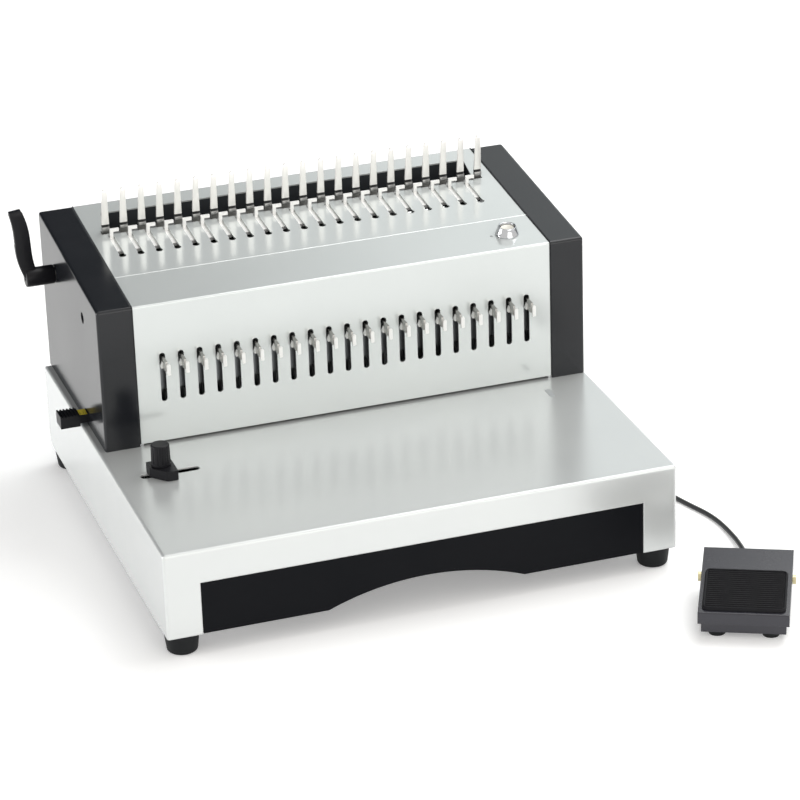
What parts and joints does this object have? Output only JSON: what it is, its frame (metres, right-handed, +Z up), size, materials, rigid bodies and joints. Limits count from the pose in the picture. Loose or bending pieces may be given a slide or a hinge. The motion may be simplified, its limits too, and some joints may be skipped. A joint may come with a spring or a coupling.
{
  "type": "comb binding machine",
  "caption": "Electric desktop punch and comb opener: hooked comb teeth on a sloping deck, selector tabs, start button, opening lever, chip drawer and a corded foot pedal.",
  "frame": {"origin": "on the table, under the middle of the base housing's rectangle", "axes": "+X to the operator's right, +Y to the back, +Z up"},
  "size_m": [0.4762, 0.5741, 0.2407],
  "materials": {
    "silver_paint": "satin",
    "zinc_steel": "satin",
    "black_rubber": "matte",
    "black_gloss_plastic": "semi-gloss",
    "black_plastic": "satin",
    "black_paint": "satin",
    "chrome_steel": "polished",
    "nickel_steel": "satin",
    "tool_steel": "ground",
    "cast_housing": "cast",
    "circuit_board": "satin",
    "cream_plastic": "semi-gloss",
    "grey_paint": "satin",
    "brass": "satin",
    "cord_jacket": "satin"
  },
  "bodies": {
    "machine": {"base_housing": "silver_paint", "base_pan": "zinc_steel", "rubber_feet": "black_rubber", "side_frame_left": "zinc_steel", "side_frame_right": "zinc_steel", "end_cap_left": "black_gloss_plastic", "end_cap_right": "black_gloss_plastic", "front_top_cover": "silver_paint", "rear_cover": "silver_paint", "comb_trough": "black_paint", "finger_bar": "chrome_steel", "die_plate": "tool_steel", "pin_guide": "tool_steel", "gearmotor": "cast_housing", "control_board": "circuit_board", "power_inlet": "black_plastic", "cord_glands": "black_plastic", "button_bezel": "chrome_steel", "case_screws": "chrome_steel", "pedal_base": "grey_paint", "pedal_feet": "black_rubber", "pedal_pivot_screws": "brass", "pedal_microswitch": "black_plastic", "pedal_cord": "cord_jacket", "pedal_cord_coil": "cord_jacket"},
    "lever": {"opening_lever": "black_plastic", "lever_shaft": "zinc_steel"},
    "hooks": {"hook_carriage": "chrome_steel"},
    "drawer": {"chip_drawer": "black_plastic"},
    "ram": {"punch_ram": "tool_steel", "punch_pins": "tool_steel"},
    "crank": {"crankshaft": "zinc_steel"},
    "button": {"push_button": "cream_plastic"},
    "depth_stop": {"depth_slider": "black_plastic"},
    "guide": {"edge_guide": "black_plastic"},
    "knob": {"edge_guide_knob": "black_plastic"},
    "rocker": {"power_rocker": "black_plastic"},
    "treadle": {"pedal_treadle": "grey_paint", "pedal_pad": "black_rubber"},
    "tab_01": {"selector_tab_01": "nickel_steel"},
    "tab_02": {"selector_tab_02": "nickel_steel"},
    "tab_03": {"selector_tab_03": "nickel_steel"},
    "tab_04": {"selector_tab_04": "nickel_steel"},
    "tab_05": {"selector_tab_05": "nickel_steel"},
    "tab_06": {"selector_tab_06": "nickel_steel"},
    "tab_07": {"selector_tab_07": "nickel_steel"},
    "tab_08": {"selector_tab_08": "nickel_steel"},
    "tab_09": {"selector_tab_09": "nickel_steel"},
    "tab_10": {"selector_tab_10": "nickel_steel"},
    "tab_11": {"selector_tab_11": "nickel_steel"},
    "tab_12": {"selector_tab_12": "nickel_steel"},
    "tab_13": {"selector_tab_13": "nickel_steel"},
    "tab_14": {"selector_tab_14": "nickel_steel"},
    "tab_15": {"selector_tab_15": "nickel_steel"},
    "tab_16": {"selector_tab_16": "nickel_steel"},
    "tab_17": {"selector_tab_17": "nickel_steel"},
    "tab_18": {"selector_tab_18": "nickel_steel"},
    "tab_19": {"selector_tab_19": "nickel_steel"},
    "tab_20": {"selector_tab_20": "nickel_steel"},
    "tab_21": {"selector_tab_21": "nickel_steel"}
  },
  "joints": [
    {"name": "lever_turn", "type": "hinge", "parent": "machine", "child": "lever", "pos_m": [-0.198, 0.1389, 0.1736], "axis": [1, 0, 0], "range_deg": [0, 100]},
    {"name": "hook_slide", "type": "slide", "parent": "machine", "child": "hooks", "axis": [0, -0.9963, -0.086], "range_m": [0, 0.033]},
    {"name": "drawer_slide", "type": "slide", "parent": "machine", "child": "drawer", "axis": [0, -1, 0], "range_m": [0, 0.2]},
    {"name": "ram_slide", "type": "slide", "parent": "machine", "child": "ram", "axis": [0, 0, -1], "range_m": [0, 0.018]},
    {"name": "crank_turn", "type": "hinge", "parent": "machine", "child": "crank", "pos_m": [0.0022, 0.024, 0.172], "axis": [1, 0, 0], "range_deg": [0, 180]},
    {"name": "button_press", "type": "slide", "parent": "machine", "child": "button", "axis": [0, 0.0814, -0.9967], "range_m": [0, 0.003], "stiffness_N_per_m": 300},
    {"name": "depth_slide", "type": "slide", "parent": "machine", "child": "depth_stop", "axis": [-1, 0, 0], "range_m": [0, 0.008]},
    {"name": "guide_slide", "type": "slide", "parent": "machine", "child": "guide", "axis": [1, 0, 0], "range_m": [-0.012, 0.025]},
    {"name": "knob_turn", "type": "hinge", "parent": "guide", "child": "knob", "pos_m": [-0.1585, -0.0475, 0.095], "axis": [0, 0, 1], "range_deg": [0, 180]},
    {"name": "rocker_tilt", "type": "hinge", "parent": "machine", "child": "rocker", "pos_m": [-0.073, 0.1781, 0.12], "axis": [1, 0, 0], "range_deg": [0, 16]},
    {"name": "treadle_press", "type": "hinge", "parent": "machine", "child": "treadle", "pos_m": [0.2155, -0.25307, 0.0226], "axis": [0.8949, -0.4462, 0], "range_deg": [0, 4], "stiffness_Nm_per_rad": 1.5, "springref_deg": -4.01},
    {"name": "tab_pull_01", "type": "slide", "parent": "ram", "child": "tab_01", "axis": [0, -1, 0], "range_m": [0, 0.006]},
    {"name": "tab_pull_02", "type": "slide", "parent": "ram", "child": "tab_02", "axis": [0, -1, 0], "range_m": [0, 0.006]},
    {"name": "tab_pull_03", "type": "slide", "parent": "ram", "child": "tab_03", "axis": [0, -1, 0], "range_m": [0, 0.006]},
    {"name": "tab_pull_04", "type": "slide", "parent": "ram", "child": "tab_04", "axis": [0, -1, 0], "range_m": [0, 0.006]},
    {"name": "tab_pull_05", "type": "slide", "parent": "ram", "child": "tab_05", "axis": [0, -1, 0], "range_m": [0, 0.006]},
    {"name": "tab_pull_06", "type": "slide", "parent": "ram", "child": "tab_06", "axis": [0, -1, 0], "range_m": [0, 0.006]},
    {"name": "tab_pull_07", "type": "slide", "parent": "ram", "child": "tab_07", "axis": [0, -1, 0], "range_m": [0, 0.006]},
    {"name": "tab_pull_08", "type": "slide", "parent": "ram", "child": "tab_08", "axis": [0, -1, 0], "range_m": [0, 0.006]},
    {"name": "tab_pull_09", "type": "slide", "parent": "ram", "child": "tab_09", "axis": [0, -1, 0], "range_m": [0, 0.006]},
    {"name": "tab_pull_10", "type": "slide", "parent": "ram", "child": "tab_10", "axis": [0, -1, 0], "range_m": [0, 0.006]},
    {"name": "tab_pull_11", "type": "slide", "parent": "ram", "child": "tab_11", "axis": [0, -1, 0], "range_m": [0, 0.006]},
    {"name": "tab_pull_12", "type": "slide", "parent": "ram", "child": "tab_12", "axis": [0, -1, 0], "range_m": [0, 0.006]},
    {"name": "tab_pull_13", "type": "slide", "parent": "ram", "child": "tab_13", "axis": [0, -1, 0], "range_m": [0, 0.006]},
    {"name": "tab_pull_14", "type": "slide", "parent": "ram", "child": "tab_14", "axis": [0, -1, 0], "range_m": [0, 0.006]},
    {"name": "tab_pull_15", "type": "slide", "parent": "ram", "child": "tab_15", "axis": [0, -1, 0], "range_m": [0, 0.006]},
    {"name": "tab_pull_16", "type": "slide", "parent": "ram", "child": "tab_16", "axis": [0, -1, 0], "range_m": [0, 0.006]},
    {"name": "tab_pull_17", "type": "slide", "parent": "ram", "child": "tab_17", "axis": [0, -1, 0], "range_m": [0, 0.006]},
    {"name": "tab_pull_18", "type": "slide", "parent": "ram", "child": "tab_18", "axis": [0, -1, 0], "range_m": [0, 0.006]},
    {"name": "tab_pull_19", "type": "slide", "parent": "ram", "child": "tab_19", "axis": [0, -1, 0], "range_m": [0, 0.006]},
    {"name": "tab_pull_20", "type": "slide", "parent": "ram", "child": "tab_20", "axis": [0, -1, 0], "range_m": [0, 0.006]},
    {"name": "tab_pull_21", "type": "slide", "parent": "ram", "child": "tab_21", "axis": [0, -1, 0], "range_m": [0, 0.006]}
  ],
  "couplings": [
    {"joint": "hook_slide", "follows": "lever_turn", "m_per_rad": 0.01875},
    {"joint": "crank_turn", "follows": "ram_slide", "rad_per_m": 174.53}
  ]
}
